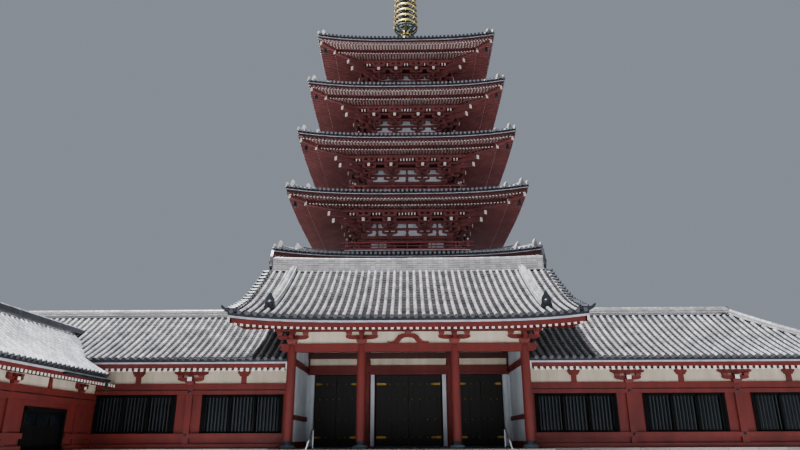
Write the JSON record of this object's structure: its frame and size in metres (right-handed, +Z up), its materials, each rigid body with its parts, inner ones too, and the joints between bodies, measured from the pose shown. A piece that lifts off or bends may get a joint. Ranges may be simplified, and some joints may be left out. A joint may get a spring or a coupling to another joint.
{
  "type": "1:2 scale model of a storeyed pagoda with its gate hall",
  "caption": "Square storeyed pagoda with balconies and a ringed spire on a walled terrace, behind a gabled gate hall with swinging doors and tiled ranges, as a 1:2 model.",
  "frame": {"origin": "on the ground, under the tower's axis", "axes": "+Z up, -Y towards the front of the gate hall, +X to the right seen from the front"},
  "size_m": [25.65, 28.9, 26.648],
  "materials": {
    "red_paint": "vermilion paint on concrete, satin",
    "plaster": "white painted plaster, matt",
    "roof_tiles": "weathered grey metal roof tiles, satin",
    "stone": "dressed grey granite, matt",
    "handrail_steel": "brushed stainless steel",
    "spire_gold": "gilded bronze, satin",
    "door_black": "black lacquer, satin"
  },
  "bodies": {
    "building": {"front_left_wall": "red_paint", "front_right_wall": "red_paint", "left_side_wall": "red_paint", "right_side_wall": "red_paint", "rear_wall": "red_paint", "court_wall": "red_paint", "wing_walls": "red_paint", "gate_front_frame": "red_paint", "door_frame": "red_paint", "storey_1_wall": "red_paint", "storey_1_eaves": "red_paint", "storey_2_wall": "red_paint", "storey_2_eaves": "red_paint", "storey_2_balcony": "red_paint", "storey_3_wall": "red_paint", "storey_3_eaves": "red_paint", "storey_3_balcony": "red_paint", "storey_4_wall": "red_paint", "storey_4_eaves": "red_paint", "storey_4_balcony": "red_paint", "storey_5_wall": "red_paint", "storey_5_eaves": "red_paint", "storey_5_balcony": "red_paint", "gate_left_wall": "plaster", "gate_right_wall": "plaster", "gate_rear_wall": "plaster", "gate_gables": "plaster", "front_left_roof": "roof_tiles", "front_right_roof": "roof_tiles", "left_side_roof": "roof_tiles", "right_side_roof": "roof_tiles", "rear_roof": "roof_tiles", "wing_roof": "roof_tiles", "gate_roof": "roof_tiles", "storey_1_roof": "roof_tiles", "storey_2_roof": "roof_tiles", "storey_3_roof": "roof_tiles", "storey_4_roof": "roof_tiles", "storey_5_roof": "roof_tiles", "plinth": "stone", "front_steps": "stone", "terrace_deck": "stone", "tower_base": "stone", "left_handrail": "handrail_steel", "right_handrail": "handrail_steel", "spire_base": "spire_gold", "spire_rings": "spire_gold", "spire_tip": "spire_gold"},
    "centre_door_left_leaf": {"centre_door_left": "door_black"},
    "centre_door_right_leaf": {"centre_door_right": "door_black"},
    "left_door_left_leaf": {"left_door_left": "door_black"},
    "left_door_right_leaf": {"left_door_right": "door_black"},
    "right_door_left_leaf": {"right_door_left": "door_black"},
    "right_door_right_leaf": {"right_door_right": "door_black"}
  },
  "joints": [
    {"name": "centre_door_left_hinge", "type": "hinge", "parent": "building", "child": "centre_door_left_leaf", "pos_m": [-0.873, -9.5, 0.565], "axis": [0, 0, 1], "range_deg": [0, 90]},
    {"name": "centre_door_right_hinge", "type": "hinge", "parent": "building", "child": "centre_door_right_leaf", "pos_m": [0.873, -9.5, 0.565], "axis": [0, 0, -1], "range_deg": [0, 90]},
    {"name": "left_door_left_hinge", "type": "hinge", "parent": "building", "child": "left_door_left_leaf", "pos_m": [-2.528, -9.5, 0.565], "axis": [0, 0, 1], "range_deg": [0, 90]},
    {"name": "left_door_right_hinge", "type": "hinge", "parent": "building", "child": "left_door_right_leaf", "pos_m": [-1.392, -9.5, 0.565], "axis": [0, 0, -1], "range_deg": [0, 90]},
    {"name": "right_door_left_hinge", "type": "hinge", "parent": "building", "child": "right_door_left_leaf", "pos_m": [1.392, -9.5, 0.565], "axis": [0, 0, 1], "range_deg": [0, 90]},
    {"name": "right_door_right_hinge", "type": "hinge", "parent": "building", "child": "right_door_right_leaf", "pos_m": [2.528, -9.5, 0.565], "axis": [0, 0, -1], "range_deg": [0, 90]}
  ]
}
